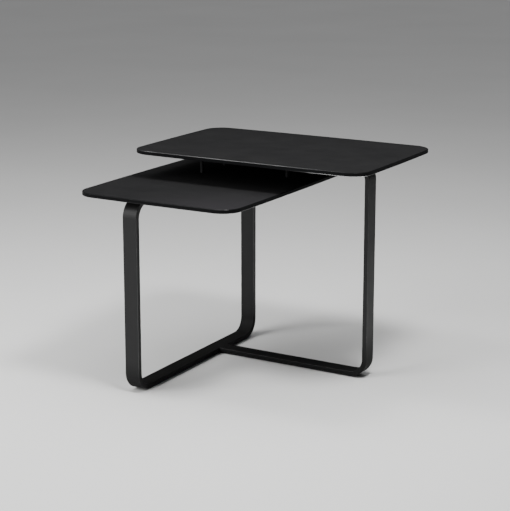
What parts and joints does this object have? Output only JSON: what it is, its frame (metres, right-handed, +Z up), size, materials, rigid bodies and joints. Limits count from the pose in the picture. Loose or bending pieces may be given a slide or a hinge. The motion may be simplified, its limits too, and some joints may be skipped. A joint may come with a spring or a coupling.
{
  "type": "two-level nesting side table",
  "caption": "Low side table with two thin rounded tops overlapping at two heights on one bent flat-bar frame.",
  "frame": {"origin": "on the floor, under the middle of the table's outline in plan", "axes": "+X from the loop frame towards the side frame's leg, +Y from front to back, +Z up"},
  "size_m": [0.5384, 0.503, 0.452],
  "materials": {
    "upper_top": "fine matte compact laminate",
    "lower_top": "fine matte compact laminate",
    "loop_frame": "matte powder coat",
    "side_frame": "matte powder coat",
    "loop_weld": "matte powder coat",
    "base_weld": "matte powder coat",
    "front_post": "matte powder coat",
    "rear_post": "matte powder coat",
    "end_post": "matte powder coat",
    "post_screws": "black oxide",
    "post_studs": "black oxide",
    "post_inserts": "machined",
    "end_post_top_screw": "black oxide",
    "end_post_base_screw": "black oxide",
    "lower_top_screws": "black oxide",
    "lower_top_inserts": "machined",
    "upper_top_screws": "black oxide",
    "upper_top_inserts": "machined",
    "floor_glides": "moulded"
  },
  "bodies": {
    "root": {"upper_top": "upper_top", "lower_top": "lower_top", "loop_frame": "loop_frame", "side_frame": "side_frame", "loop_weld": "loop_weld", "base_weld": "base_weld", "front_post": "front_post", "rear_post": "rear_post", "end_post": "end_post", "post_screws": "post_screws", "post_studs": "post_studs", "post_inserts": "post_inserts", "end_post_top_screw": "end_post_top_screw", "end_post_base_screw": "end_post_base_screw", "lower_top_screws": "lower_top_screws", "lower_top_inserts": "lower_top_inserts", "upper_top_screws": "upper_top_screws", "upper_top_inserts": "upper_top_inserts", "floor_glides": "floor_glides"}
  },
  "joints": []
}
